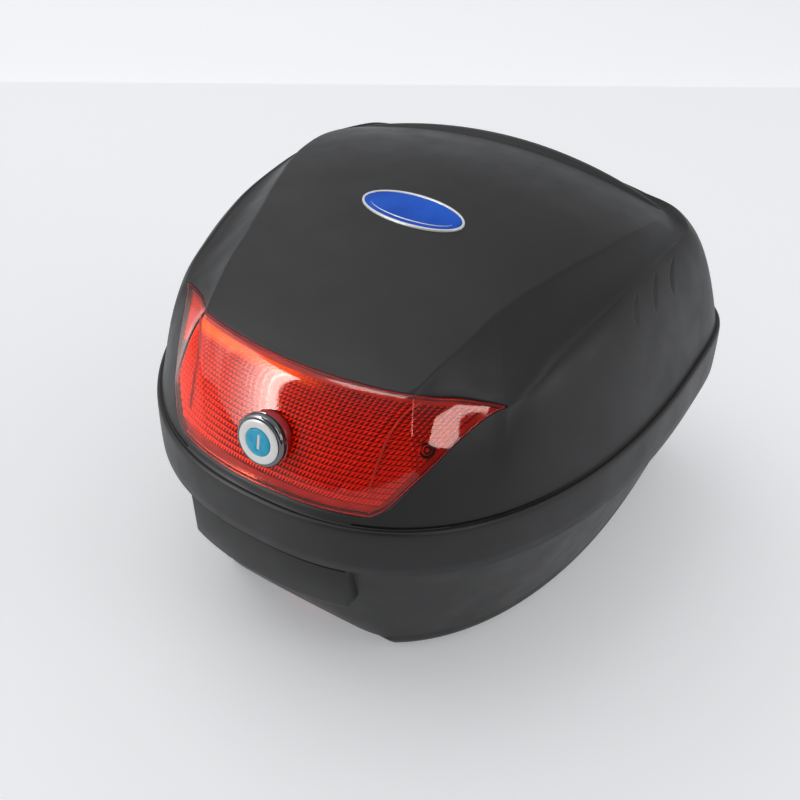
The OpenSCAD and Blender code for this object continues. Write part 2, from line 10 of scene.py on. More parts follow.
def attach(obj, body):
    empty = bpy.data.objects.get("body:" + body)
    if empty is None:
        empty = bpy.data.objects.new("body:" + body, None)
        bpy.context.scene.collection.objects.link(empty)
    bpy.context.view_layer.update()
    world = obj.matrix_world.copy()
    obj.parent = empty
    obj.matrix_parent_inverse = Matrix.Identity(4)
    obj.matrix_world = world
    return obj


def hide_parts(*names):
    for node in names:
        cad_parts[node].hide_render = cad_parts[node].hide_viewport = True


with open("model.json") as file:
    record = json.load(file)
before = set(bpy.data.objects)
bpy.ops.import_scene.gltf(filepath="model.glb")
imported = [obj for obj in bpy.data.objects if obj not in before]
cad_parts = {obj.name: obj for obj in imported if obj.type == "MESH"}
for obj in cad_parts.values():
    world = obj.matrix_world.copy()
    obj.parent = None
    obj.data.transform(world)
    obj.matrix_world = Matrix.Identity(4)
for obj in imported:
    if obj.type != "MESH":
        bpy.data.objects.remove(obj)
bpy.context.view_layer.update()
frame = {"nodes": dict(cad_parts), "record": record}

MM = 0.001

# ---- Sizes of the case in millimetres, as in the CAD model ----
HALF_W, FRONT, BACK = 200.0, 296.0, 115.0
WIDEST_Y, APEX_Y = 85.0, 45.0
FRONT_POWER, BACK_POWER = 2.4, 4.0
SPLIT_Z, BAND_Z, TOP_Z = 121.0, 160.0, 283.5
INSET, WALL = 5.5, 3.0
FOOT_HALF_W, FOOT_FRONT, FOOT_BACK, FOOT_Y, FOOT_R = 170.0, 285.0, 95.0, 100.0, 18.0
GRIP_HALF_W, GRIP_Z, GRIP_BACK_Y = 66.0, 82.0, -188.0
RAMP_Y, RAMP_SLOPE = -159.0, 0.66
RECESS_W, RECESS_L, RECESS_Y, RECESS_Z, RECESS_CORNER = 214.0, 232.0, 5.0, 16.0, 14.0
RECESS_SLOT = 30.0                # half the width of the slot for the release tab, ahead of the recess
FINGERS_Q, FINGERS_Y, FINGERS_Z = 12.4, -184.0, (70.0, 112.0)
LOCK = np.array([0.0, -198.8, 200.7])
LOCK_TILT = math.radians(13.2)
BADGE_A, BADGE_B, BADGE_Y = 41.0, 17.0, -14
FAR, HALVINGS = 420.0, 40         # beyond every outline, and steps of the search for an outline
# Right half of the edges on the dome: x, y, z. The corners are where the lens's notch and tip lie
OUTER_EDGE = [(0, -155, 237), (42, -152.6, 237.5), (82.5, -145.3, 239), (91.8, -134.9, 234.2),
              (104.6, -124.8, 231.7), (118.2, -117.1, 229.3), (130.7, -111.8, 227.4), (137.1, -96.1, 233),
              (142.4, -66.1, 241.6), (150.6, -23.9, 248.1), (155, 33, 251.8), (157.2, 66, 250.5),
              (159, 100, 248), (156, 128, 246), (139, 144, 249), (110, 149, 252), (0, 152, 255)]
INNER_EDGE = [(0, -155, 237), (42, -152.6, 237.5), (82.5, -145.3, 239), (88, -124.2, 248.3),
              (92.6, -107.8, 253.5), (100.1, -70.3, 262.9), (111.1, -36.3, 268.2), (123, -0.9, 271),
              (134.2, 40.9, 270.4), (140.7, 83.2, 263.6), (141, 110, 257.5), (136, 127, 254),
              (100, 136, 258.5), (0, 144, 266)]


# ---- Outlines and the dome's surface ----
def level(x, y, a, f, b, c):
    """Superellipse level: 1 on an outline with half width a, reaches f and b and its widest line at y = c."""
    front = (np.abs(x) / a) ** FRONT_POWER + (np.abs(c - y) / f) ** FRONT_POWER
    back = (np.abs(x) / a) ** BACK_POWER + (np.abs(y - c) / b) ** BACK_POWER
    return np.where(y < c, front, back)


def reach(q, a, f, b, c):
    """Distance from the apex axis to the outline in direction q (degrees, 0 at the front), by halving."""
    q = np.radians(np.asarray(q, float))
    low, high = np.zeros_like(q), np.full_like(q, FAR)
    for _ in range(HALVINGS):
        middle = (low + high) / 2
        outside = level(middle * np.sin(q), APEX_Y - middle * np.cos(q), a, f, b, c) > 1
        high = np.where(outside, middle, high)
        low = np.where(outside, low, middle)
    return (low + high) / 2


def rim(q, inset=0.0):
    return reach(q, HALF_W, FRONT, BACK, WIDEST_Y) - inset


def polar(q, r, z):
    """Points at direction q and distance r from the apex axis."""
    q, r, z = np.broadcast_arrays(np.radians(q), r, z)
    return np.stack([r * np.sin(q), APEX_Y - r * np.cos(q), z], -1)


def fold(q):
    q = np.mod(q, 360.0)
    return np.where(q > 180, 360 - q, q)


def tangents(knots, values):
    """Knots, values, steps and slopes of a monotone cubic that is level at both ends."""
    knots, values = np.asarray(knots, float), np.asarray(values, float)
    step, slope = np.diff(knots), np.diff(values) / np.diff(knots)
    tangent = np.zeros_like(values)
    for i in range(1, len(knots) - 1):
        if slope[i - 1] * slope[i] > 0:
            w1, w2 = 2 * step[i] + step[i - 1], step[i] + 2 * step[i - 1]
            tangent[i] = (w1 + w2) / (w1 / slope[i - 1] + w2 / slope[i])
    return knots, values, step, tangent


def curve(points, corners):
    """Radius and height along an edge as functions of q, smooth but for the corners."""
    table = np.array([[math.degrees(math.atan2(x, APEX_Y - y)), math.hypot(x, y - APEX_Y), z]
                      for x, y, z in points])

    def evaluate(q, column):
        q = np.clip(fold(q), 0, 180)
        out = np.zeros_like(q, dtype=float)
        stops = [0] + corners + [len(points) - 1]
        for first, last in zip(stops[:-1], stops[1:]):
            part = table[first:last + 1]
            inside = (q >= part[0, 0] - 1e-9) & (q <= part[-1, 0] + 1e-9)
            if not inside.any():
                continue
            knots, values, step, tangent = tangents(part[:, 0], part[:, column])
            if first != 0:
                tangent[0] = (values[1] - values[0]) / step[0]
            if last != len(points) - 1:
                tangent[-1] = (values[-1] - values[-2]) / step[-1]
            k = np.clip(np.searchsorted(knots, q[inside]) - 1, 0, len(knots) - 2)
            t = (q[inside] - knots[k]) / step[k]
            h00, h10 = 2 * t**3 - 3 * t**2 + 1, t**3 - 2 * t**2 + t
            h01, h11 = -2 * t**3 + 3 * t**2, t**3 - t**2
            out[inside] = (h00 * values[k] + h10 * step[k] * tangent[k]
                           + h01 * values[k + 1] + h11 * step[k] * tangent[k + 1])
        return out
    return evaluate


outer_edge = curve(OUTER_EDGE, [2, 6])
inner_edge = curve(INNER_EDGE, [2])
EDGE_ROUND = 2.6                  # least width of the rounding between the creases


def inner_reach(h):
    return np.minimum(inner_edge(h, 1), outer_edge(h, 1) - EDGE_ROUND)


NOTCH_Q = math.degrees(math.atan2(82.5, 190.3))
TIP_Q = math.degrees(math.atan2(130.7, 156.8))
LENS_FOOT_Q = 18.1
LENS_COLUMN = 30.0                # the column of the grid that runs along the lens's slanted edge


def rise(u):
    """Height of the lid's side over the band as a fraction, from u = 0 at the band to 1 at the crease."""
    return 0.23 * u + 0.77 * (1 - np.clip(1 - u, 0, 1) ** 1.9)


def lens_edge_q(u):
    """Direction of the lens's slanted edge at u, rounded off at its lower corner."""
    straight = LENS_FOOT_Q + (TIP_Q - LENS_FOOT_Q) * u * (1.217 - 0.217 * u)
    corner = np.clip((0.13 - u) / 0.09, 0, 1)
    return straight - 3.2 * (1 - np.sqrt(1 - corner**2 * 0.98))


def warp(c, u):
    """Direction of column c at height u: column 30 follows the lens's edge, columns past 90 stay."""
    h = fold(c)
    side = np.where(np.mod(c, 360) > 180, -1.0, 1.0)
    weight = np.where(h < LENS_COLUMN, h / LENS_COLUMN, np.clip((90 - h) / (90 - LENS_COLUMN), 0, 1) ** 1.4)
    q = h + (lens_edge_q(np.clip(u, 0, 1)) - LENS_COLUMN) * weight
    return np.where(side > 0, q, 360 - q)


def side_point(c, u, depth=0.0):
    q = warp(c, u)
    h = fold(q)
    r0 = rim(h, INSET)
    r = r0 + (outer_edge(h, 1) - r0) * u
    z = BAND_Z + (outer_edge(h, 2) - BAND_Z) * rise(u)
    return polar(q, r - depth * (1 - 0.3 * u), z - 0.75 * depth * u)


def panel_z(x, y):
    """Height of the crowned top panel over a point of the plan; it rolls over at the lens."""
    ahead, behind = np.clip((APEX_Y - y) / 200, 0, 2), np.clip((y - APEX_Y) / 99, 0, 3)
    middle = TOP_Z - 46.5 * (0.88 * ahead**1.75 + 0.12 * ahead**9) - 17.5 * behind**1.85
    crown = 6.22 + 0.02236 * y + 0.0000641 * y**2
    return middle - crown * (x / 100) ** 2


def channel_point(c, v):
    """Between the sharp crease (v = 0) and the soft one (v = 1), hollowed in between."""
    q = warp(c, 1.0)
    h = fold(q)
    gap = outer_edge(h, 1) - inner_reach(h)
    r = outer_edge(h, 1) - gap * v
    inner = polar(q, inner_reach(h), 0)
    top = panel_z(inner[..., 0], inner[..., 1])
    blend = v + 0.10 * np.sin(math.pi * v)
    z = outer_edge(h, 2) + (top - outer_edge(h, 2)) * blend
    past_tip = np.clip((h - NOTCH_Q) / (TIP_Q + 8 - NOTCH_Q), 0, 1) ** 1.5
    back = np.clip((150 - h) / 30, 0, 1)
    hollow = np.minimum(7.0, gap / 4.5) * past_tip * back
    roll = 1.6 * np.clip((TIP_Q + 3 - h) / 8, 0, 1) * math.exp(-((v - 0.14) / 0.16) ** 2)
    return polar(q, r, z - hollow * np.sin(math.pi * v ** 0.75) + roll * np.clip(gap / 20, 0, 1))


def panel_point(c, s):
    q = warp(c, 1.0)
    flat = polar(q, s * inner_reach(fold(q)), 0)
    flat[..., 2] = panel_z(flat[..., 0], flat[..., 1])
    return flat


# ---- Mesh helpers ----
def add(name, verts, faces, smooth=True):
    """A mesh object from points in millimetres."""
    mesh = bpy.data.meshes.new(name)
    mesh.from_pydata([tuple(float(k) * MM for k in v) for v in verts], [], faces)
    mesh.validate()
    mesh.update()
    mesh.polygons.foreach_set("use_smooth", [smooth] * len(mesh.polygons))
    obj = bpy.data.objects.new(name, mesh)
    bpy.context.scene.collection.objects.link(obj)
    return obj


def grid(points, wrap):
    """Vertices and quads of a grid of points, rows x columns x 3."""
    rows, cols = points.shape[:2]
    quads = []
    for j in range(rows - 1):
        for i in range(cols if wrap else cols - 1):
            k = (i + 1) % cols
            quads.append((j * cols + i, j * cols + k, (j + 1) * cols + k, (j + 1) * cols + i))
    return points.reshape(-1, 3), quads


def ring_join(first, second, count):
    """Quads from the ring of vertices that starts at index first to the one that starts at second."""
    return [(first + i, first + (i + 1) % count, second + (i + 1) % count, second + i) for i in range(count)]


def sheet_mesh(name, points, wrap=True, cap=False):
    """A mesh from a grid of points, closed with a fan over its last row where cap is set."""
    verts, quads = grid(points, wrap)
    if cap:
        rows, cols = points.shape[:2]
        centre = points[-1].mean(0)
        verts = np.vstack([verts, centre])
        last = (rows - 1) * cols
        quads += [(last + i, last + (i + 1) % cols, len(verts) - 1) for i in range(cols)]
    return add(name, verts, quads)


def solidify(obj, thickness):
    """A wall grown inward from a sheet."""
    m = obj.modifiers.new("thickness", "SOLIDIFY")
    m.thickness = thickness * MM
    m.offset = -1.0
    m.use_even_offset = False


def bevel(obj, width, segments, angle):
    m = obj.modifiers.new("edges", "BEVEL")
    m.width = width * MM
    m.segments = segments
    m.limit_method = "ANGLE"
    m.angle_limit = math.radians(angle)
    m.harden_normals = False


def sharp_by_angle(obj, angle):
    """Smooth shading with the edges over an angle kept sharp."""
    mesh = obj.data
    bm = bmesh.new()
    bm.from_mesh(mesh)
    limit = math.radians(angle)
    for edge in bm.edges:
        edge.smooth = not (len(edge.link_faces) == 2 and edge.calc_face_angle(0) > limit)
    for face in bm.faces:
        face.smooth = True
    bm.to_mesh(mesh)
    bm.free()
    return obj


def face_out(obj):
    """Turns all the normals outward."""
    bm = bmesh.new()
    bm.from_mesh(obj.data)
    bmesh.ops.recalc_face_normals(bm, faces=bm.faces)
    bm.to_mesh(obj.data)
    bm.free()
    return obj


def lathe(name, profile, place, segments):
    """A ring from a closed loop of (radius, height) pairs about the local z axis, put in place by place()."""
    angles = np.arange(segments) * 2 * math.pi / segments
    rings = np.array([[(r * math.cos(a), r * math.sin(a), z) for a in angles] for r, z in profile])
    verts, quads = grid(rings, True)
    quads += ring_join((len(profile) - 1) * segments, 0, segments)
    return sharp_by_angle(face_out(add(name, place(verts), quads)), 30)


def in_lock(points):
    """From the lock's frame (z into the case from the button's face, y down) to the case's frame."""
    c, s = math.cos(LOCK_TILT), math.sin(LOCK_TILT)
    p = np.asarray(points, float)
    return np.stack([p[:, 0], LOCK[1] - p[:, 1] * s + p[:, 2] * c, LOCK[2] - p[:, 1] * c - p[:, 2] * s], -1)


# ---- Materials ----
class Look:
    """A node material: a Principled shader with procedural colour, roughness and bump."""

    def __init__(self, name, colour, roughness=0.5, metallic=0.0, **sockets):
        self.material = bpy.data.materials.new(name)
        self.material.use_nodes = True
        self.tree = self.material.node_tree
        self.shader = self.tree.nodes["Principled BSDF"]
        self.shader.inputs["Base Color"].default_value = (*colour[:3], 1)
        self.shader.inputs["Roughness"].default_value = roughness
        self.shader.inputs["Metallic"].default_value = metallic
        for key, value in sockets.items():
            self.shader.inputs[key.replace("_", " ")].default_value = value
        self.coords = self.tree.nodes.new("ShaderNodeTexCoord")
        self.normal = None

    def node(self, kind, **settings):
        n = self.tree.nodes.new(kind)
        for key, value in settings.items():
            if hasattr(n, key):
                setattr(n, key, value)
            else:
                n.inputs[key.replace("_", " ")].default_value = value
        return n

    def link(self, a, b):
        self.tree.links.new(a, b)

    def noise(self, scale, detail=3.0, roughness=0.55, stretch=(1, 1, 1)):
        mapping = self.node("ShaderNodeMapping")
        mapping.inputs["Scale"].default_value = stretch
        self.link(self.coords.outputs["Object"], mapping.inputs["Vector"])
        n = self.node("ShaderNodeTexNoise")
        n.inputs["Scale"].default_value = scale
        n.inputs["Detail"].default_value = detail
        n.inputs["Roughness"].default_value = roughness
        self.link(mapping.outputs["Vector"], n.inputs["Vector"])
        return n.outputs["Fac"]

    def ramp(self, value, low, high, at=(0.3, 0.7)):
        r = self.node("ShaderNodeMapRange")
        r.inputs["From Min"].default_value, r.inputs["From Max"].default_value = at
        r.inputs["To Min"].default_value, r.inputs["To Max"].default_value = low, high
        self.link(value, r.inputs["Value"])
        return r.outputs["Result"]

    def vary_colour(self, value, first, second, at=(0.35, 0.65)):
        r = self.node("ShaderNodeValToRGB")
        r.color_ramp.elements[0].position, r.color_ramp.elements[1].position = at
        r.color_ramp.elements[0].color = (*first, 1)
        r.color_ramp.elements[1].color = (*second, 1)
        self.link(value, r.inputs["Fac"])
        self.link(r.outputs["Color"], self.shader.inputs["Base Color"])
        return self

    def paint_light_by_slope(self, towards, shaded_colour, lit_colour, at):
        """Painted light and shade: colour from how far a facet faces a direction, the lit colour where it faces
        it and the shaded colour where it turns away.
        """
        geometry, dot = self.node("ShaderNodeNewGeometry"), self.node("ShaderNodeVectorMath")
        dot.operation = "DOT_PRODUCT"
        dot.inputs[1].default_value = Vector(towards).normalized()
        self.link(geometry.outputs["True Normal"], dot.inputs[0])
        return self.vary_colour(dot.outputs["Value"], shaded_colour, lit_colour, at)

    def glow_across(self, x0, x1, first, second):
        """Painted glow in place of light gathered inside the lens: its own colour given off, by x in metres."""
        split = self.node("ShaderNodeSeparateXYZ")
        self.link(self.coords.outputs["Object"], split.inputs[0])
        self.link(self.ramp(split.outputs["X"], first, second, (x0, x1)), self.shader.inputs["Emission Strength"])
        self.link(self.shader.inputs["Base Color"].links[0].from_socket, self.shader.inputs["Emission Color"])

    def paint_highlight_corner(self, colour, axis, along, across):
        """A painted highlight: another colour, also given off as light, where one axis passes along[1] and x
        passes across[1], in metres.
        """
        split = self.node("ShaderNodeSeparateXYZ")
        self.link(self.coords.outputs["Object"], split.inputs[0])
        both = self.node("ShaderNodeMath", operation="MULTIPLY")
        self.link(self.ramp(split.outputs[axis], 0, 1, along), both.inputs[0])
        self.link(self.ramp(split.outputs["X"], 0, 1, across), both.inputs[1])
        mix = self.node("ShaderNodeMix", data_type="RGBA")
        mix.inputs[7].default_value = (*colour, 1)
        self.link(both.outputs[0], mix.inputs[0])
        self.link(self.shader.inputs["Base Color"].links[0].from_socket, mix.inputs[6])
        self.link(mix.outputs[2], self.shader.inputs["Base Color"])
        self.link(mix.outputs[2], self.shader.inputs["Emission Color"])

    def vary_roughness(self, value, low, high):
        self.link(self.ramp(value, low, high), self.shader.inputs["Roughness"])
        return self

    def bump(self, value, strength, distance):
        b = self.node("ShaderNodeBump")
        b.inputs["Strength"].default_value = strength
        b.inputs["Distance"].default_value = distance
        self.link(value, b.inputs["Height"])
        if self.normal is not None:
            self.link(self.normal, b.inputs["Normal"])
        self.normal = b.outputs["Normal"]
        self.link(self.normal, self.shader.inputs["Normal"])
        return self


def moulded_plastic(name, dark, light, grain=1.0):
    """Moulded plastic: a fine grain over a coarser one, faint flow marks and an uneven sheen."""
    look = Look(name, dark, 0.5, Specular_IOR_Level=0.38)
    look.vary_colour(look.noise(9, 4), dark, light)
    look.vary_roughness(look.noise(35, 3), 0.40, 0.50)
    look.bump(look.noise(1500, 2, 0.6), 0.28 * grain, 0.0002)
    look.bump(look.noise(420, 2, 0.5), 0.12 * grain, 0.0003)
    return look.material


def make_looks():
    looks = {}
    looks["shell"] = moulded_plastic("case_plastic", (0.0092, 0.009, 0.0097), (0.0115, 0.0113, 0.012))
    looks["trim"] = moulded_plastic("trim_plastic", (0.0095, 0.0094, 0.0098), (0.012, 0.0118, 0.0122), 0.7)
    rubber = Look("rubber", (0.012, 0.012, 0.012), 0.7, Specular_IOR_Level=0.3)
    rubber.vary_roughness(rubber.noise(60), 0.6, 0.8).bump(rubber.noise(900), 0.2, 0.0002)
    looks["rubber"] = rubber.material
    mat = Look("mat_rubber", (0.018, 0.018, 0.019), 0.75)
    mat.vary_colour(mat.noise(40), (0.014, 0.014, 0.015), (0.024, 0.024, 0.025))
    mat.bump(mat.noise(700), 0.3, 0.0003)
    looks["mat"] = mat.material
    steel = Look("zinc_steel", (0.62, 0.63, 0.65), 0.32, 1.0)
    steel.vary_colour(steel.noise(60, 4), (0.5, 0.51, 0.53), (0.68, 0.69, 0.7))
    steel.vary_roughness(steel.noise(120, 3, 0.5, (1, 12, 1)), 0.24, 0.42)
    steel.bump(steel.noise(800, 2, 0.5, (1, 20, 1)), 0.08, 0.0001)
    looks["steel"] = steel.material
    chrome = Look("chrome", (0.16, 0.16, 0.17), 0.06, 1.0)
    chrome.vary_roughness(chrome.noise(90, 4), 0.03, 0.10).bump(chrome.noise(300), 0.02, 0.0001)
    looks["chrome"] = chrome.material
    silver = Look("satin_silver", (0.92, 0.92, 0.90), 0.3, 0.15)
    silver.vary_roughness(silver.noise(200, 3), 0.28, 0.36).bump(silver.noise(1800), 0.02, 0.0001)
    looks["silver"] = silver.material
    lens = Look("lens_red", (1.0, 0.24, 0.13), 0.045, Transmission_Weight=1.0, IOR=1.42)
    lens.vary_roughness(lens.noise(40), 0.03, 0.06).bump(lens.noise(60, 2), 0.015, 0.0004)
    looks["lens"] = lens.material
    prism = Look("prism_red", (0.95, 0.03, 0.01), 0.22)
    # Painted light and shade: facets that face the lamps are coloured bright orange and those turned away dark
    # red.
    prism.paint_light_by_slope((-0.35, -0.5, 0.8), (0.12, 0.0, 0.001), (1.0, 0.15, 0.005), (0.42, 0.98))
    prism.vary_roughness(prism.noise(22, 3), 0.16, 0.3)
    # Painted glow: the reflector gives off its own colour, stronger towards -x, as if lit from inside.
    prism.glow_across(-0.05, 0.05, 0.55, 0.06)
    # Painted highlight: an orange strip along the top row of the prisms on the left, also given off as light.
    prism.paint_highlight_corner((1.0, 0.62, 0.03), "Z", (0.2262, 0.2294), (0.03, -0.005))
    looks["reflector"] = prism.material
    bed = Look("lens_bed_red", (0.6, 0.1, 0.1), 0.4)
    bed.vary_colour(bed.noise(30), (0.5, 0.07, 0.07), (0.72, 0.16, 0.15))
    looks["lens_bed"] = bed.material
    edge = Look("lens_edge_red", (0.42, 0.012, 0.02), 0.25)
    edge.vary_colour(edge.noise(40), (0.34, 0.008, 0.014), (0.55, 0.02, 0.03))
    looks["lens_edge"] = edge.material
    blue = Look("badge_blue", (0.015, 0.09, 0.42), 0.4, Specular_IOR_Level=0.12)
    blue.vary_colour(blue.noise(30, 3), (0.010, 0.10, 0.62), (0.016, 0.14, 0.78))
    blue.bump(blue.noise(500), 0.02, 0.0001)
    looks["blue_enamel"] = blue.material
    cyan = Look("key_blue", (0.03, 0.42, 0.68), 0.35, Specular_IOR_Level=0.3)
    cyan.vary_colour(cyan.noise(160, 3), (0.015, 0.46, 0.72), (0.04, 0.58, 0.86))
    cyan.bump(cyan.noise(900), 0.08, 0.0001)
    looks["key_blue"] = cyan.material
    brass = Look("worn_brass", (0.72, 0.66, 0.5), 0.3, 1.0)
    brass.vary_colour(brass.noise(300, 4), (0.5, 0.44, 0.3), (0.8, 0.75, 0.62))
    brass.vary_roughness(brass.noise(300), 0.25, 0.5)
    looks["brass"] = brass.material
    looks["release_red"] = moulded_plastic("release_red", (0.28, 0.012, 0.016), (0.36, 0.02, 0.024))
    black = Look("black_oxide", (0.05, 0.05, 0.055), 0.38, 0.8)
    black.vary_roughness(black.noise(200), 0.3, 0.5).bump(black.noise(900), 0.1, 0.0001)
    looks["black_screw"] = black.material
    return looks


LOOKS = make_looks()
NODE_SLOT = {s["node"]: s["material_slot"] for s in frame["record"]["subparts"]}


def dress(obj, slot):
    obj.data.materials.clear()
    obj.data.materials.append(LOOKS[slot])
    return obj


def stands_for(obj, body, slot, *nodes):
    """Finishes a piece: its body, its material and the CAD nodes that it stands for."""
    dress(obj, slot)
    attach(obj, body)
    if nodes:
        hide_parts(*nodes)
    return obj


def dress_cad_nodes():
    for name, obj in frame["nodes"].items():
        material = LOOKS[NODE_SLOT[name]]
        if obj.material_slots:
            for s in obj.material_slots:
                s.material = material
        else:
            obj.data.materials.append(material)


# ---- Lid ----
# Gills pressed into the lid's side near the back: column and height at the lower end, the middle and the top
GILLS = [((95.5, 0.56), (96.2, 0.72), (102.5, 0.885)), ((85.5, 0.58), (86.8, 0.74), (92.0, 0.9)),
         ((76.4, 0.61), (76.2, 0.76), (80.0, 0.88))]
GILL_WIDTH, GILL_DEPTH = 3.0, 1.5
LENS_U0, LENS_U1 = 0.05, 0.995
LENS_GAP = 0.16                   # half the width of the joint about the lens, in columns
LENS_SEAT = 5.4                   # depth of the lid's skin under the lens
LID_HOLE_R, LENS_HOLE_R = 12.4, 12.6


def columns():
    """Column angles: even, closer at the lens's slanted edges and across the gills."""
    edge = LENS_COLUMN + np.array([-0.5, -0.32, -LENS_GAP, LENS_GAP, 0.32, 0.5])
    fine = np.concatenate([np.arange(75.5, 108, 0.25), edge])
    return np.unique(np.round(np.concatenate([np.arange(0, 360, 0.75), fine, 360 - fine]), 4))


def gill_depth(c, u):
    """Three crescent marks: a step in at the front edge that runs out towards the back."""
    h = fold(c)
    depth = np.zeros_like(h)
    for (c0, u0), (c1, u1), (c2, u2) in GILLS:
        t = (u - u0) / (u2 - u0)
        if not 0 < t < 1:
            continue
        k = (u1 - u0) / (u2 - u0)
        front = (c0 * (t - k) * (t - 1) / k + c1 * t * (t - 1) / (k * (k - 1)) + c2 * t * (t - k) / (1 - k))
        width = GILL_WIDTH * math.sin(math.pi * t) ** 0.6
        across = (h - front) / max(width, 0.01)
        inside = (across > 0) & (across < 1)
        step = np.clip(across * width / 0.4, 0, 1)
        depth = np.where(inside, GILL_DEPTH * math.sin(math.pi * t) ** 0.5 * step * (1 - across) ** 1.2, depth)
    return depth


def lid_rows():
    """The lid's outer surface from the band's lower edge to the apex, rows x columns x 3."""
    c = columns()
    rows = [polar(c, rim(c, i), z) for i, z in [(2.6, SPLIT_Z + 0.2), (0.5, SPLIT_Z), (0.0, SPLIT_Z + 0.7),
            (0.1, 130), (0.5, 142), (1.1, 153), (1.4, 156.8), (1.8, 158.6), (2.6, 159.7), (3.4, BAND_Z),
            (4.6, BAND_Z + 0.1), (4.9, BAND_Z - 0.12), (5.2, BAND_Z - 0.12), (5.45, BAND_Z + 0.15)]]
    inside = fold(c) < LENS_COLUMN + LENS_GAP / 2
    heights = np.concatenate([[0.004, 0.02, 0.036, LENS_U0 - 0.006, LENS_U0 + 0.001], np.linspace(0.07, 0.54, 14),
                              np.arange(0.55, 0.92, 0.01), [0.94, 0.96, 0.975, 0.988]])
    for u in heights:
        depth = np.where(inside & (u > LENS_U0), LENS_SEAT, gill_depth(c, u))
        rows.append(side_point(c, u, depth))
    for v in (0.008, 0.03, 0.08, 0.16, 0.26, 0.38, 0.5, 0.62, 0.74, 0.85, 0.94):
        rows.append(channel_point(c, v))
    for s in np.concatenate([[1.0, 0.985, 0.96, 0.93], np.linspace(0.9, 0.04, 34)]):
        rows.append(panel_point(c, s))
    return np.array(rows)


def from_axis(points, place):
    """Distance of points from the axis of a frame that place() puts in the case's frame."""
    start, ahead = place(np.array([[0, 0, 0], [0, 0, 1.0]]))
    off = np.asarray(points, float) - start
    along = ahead - start
    return np.linalg.norm(off - (off @ along)[..., None] * along, axis=-1)


def without(faces, marked):
    """The faces that have none of the marked vertices."""
    return [f for f in faces if not any(marked[k] for k in f)]


def make_lid():
    """The lid's skin with a hole for the lock's barrel, thickened to the wall."""
    rows = lid_rows()
    verts, quads = grid(rows, True)
    last = (len(rows) - 1) * rows.shape[1]
    quads += [(last + i, last + (i + 1) % rows.shape[1], len(verts)) for i in range(rows.shape[1])]
    verts = np.vstack([verts, rows[-1].mean(0)])
    hole = (from_axis(verts, in_lock) < LID_HOLE_R) & (verts[:, 1] < 0)
    lid = add("lid_shell_skin", verts, without(quads, hole))
    solidify(lid, WALL)
    stands_for(lid, "lid", "shell", "lid_shell")


def make_rear_lip():
    n, k = 96, 24
    t = np.linspace(-1, 1, n)
    r = 0.6 + 6.6 * np.cos(t * math.pi / 2) ** 0.7
    b = np.arange(k) * 2 * math.pi / k
    centre = np.stack([139 * t, 141 - 14 * t**2, 264 - 12.6 * t**2 - 1.2 * t**10], -1)
    ring = np.stack([np.zeros((n, k)), 1.3 * r[:, None] * np.cos(b), r[:, None] * np.sin(b)], -1)
    lip = sheet_mesh("rear_lip_roll", centre[:, None, :] + ring)
    stands_for(face_out(lip), "lid", "trim", "rear_lip")


# ---- Lens ----
LENS_FOLD = 17.6                  # column where the wings of the lens fold back from its face
LENS_BORDER_U, LENS_TOP_BORDER_U = 0.045, 0.11
GRID_COLS, WING_COLS, GRID_ROWS = 44, 12, 22
RIDGE, RIDGE_WIDTH = 0.34, 1.3    # height in millimetres and width in columns of the ridge along each fold
LENS_WALL = 2.2
BED_DEPTH, PRISM_DEPTH, PRISM_PEAK = 5.3, 4.8, 3.1
SCREW_PLACE, SCREW_TILT, SCREW_TURN = (97.0, -153.0, 206.6), 62, 38
SCREW_HOLE_R = 5.0


def lens_point(c, u, depth=0.0):
    """On the lens, with a narrow rounded ridge where each wing folds back."""
    signed = np.where(np.mod(c, 360) > 180, np.mod(c, 360) - 360, np.mod(c, 360))
    ridge = RIDGE * np.exp(-((np.abs(signed) - LENS_FOLD) / RIDGE_WIDTH) ** 2)
    ridge = ridge * min(1.0, max(0.0, (u - 0.1) * 2.2))
    return side_point(c, u, depth - ridge)


def make_lens():
    c = np.linspace(LENS_GAP - LENS_COLUMN, LENS_COLUMN - LENS_GAP, 361)
    rows = [lens_point(c, LENS_U0 + 0.004, 3.4), lens_point(c, LENS_U0 + 0.002, 0.7)]
    rows += [lens_point(c, u, d) for u, d in ((LENS_U0 + 0.006, 0.15), (LENS_U0 + 0.014, 0.0))]
    rows += [lens_point(c, u) for u in np.linspace(0.09, 0.975, 52)]
    rows += [lens_point(c, 0.988, 0.15), lens_point(c, 0.994, 0.8), lens_point(c, 0.995, 3.4)]
    verts, quads = grid(np.array(rows), False)
    lens = face_out(add("lens_cover", verts, without(quads, from_axis(verts, in_lock) < LENS_HOLE_R)))
    solidify(lens, LENS_WALL)
    stands_for(lens, "lid", "lens", "lens")
    make_lens_edge()
    make_ribs()
    make_prisms()
    make_bosses()


def tube(name, path, radius, closed=True, around=10):
    """A round bead along a path of points."""
    path = np.asarray(path, float)
    ahead = np.roll(path, -1, 0) - np.roll(path, 1, 0)
    if not closed:
        ahead[0], ahead[-1] = path[1] - path[0], path[-1] - path[-2]
    ahead /= np.linalg.norm(ahead, axis=1)[:, None]
    side = np.cross(ahead, (0, 0, 1.0))
    side /= np.maximum(np.linalg.norm(side, axis=1), 1e-6)[:, None]
    up = np.cross(side, ahead)
    a = np.arange(around) * 2 * math.pi / around
    radius = np.broadcast_to(radius, len(path))[:, None, None]
    rings = path[:, None, :] + radius * (np.cos(a)[None, :, None] * side[:, None, :]
                                         + np.sin(a)[None, :, None] * up[:, None, :])
    verts, quads = grid(rings, True)
    if closed:
        quads += ring_join((len(path) - 1) * around, 0, around)
    else:
        quads += [tuple(range(around)), tuple((len(path) - 1) * around + i for i in range(around))[::-1]]
    return face_out(add(name, verts, quads))


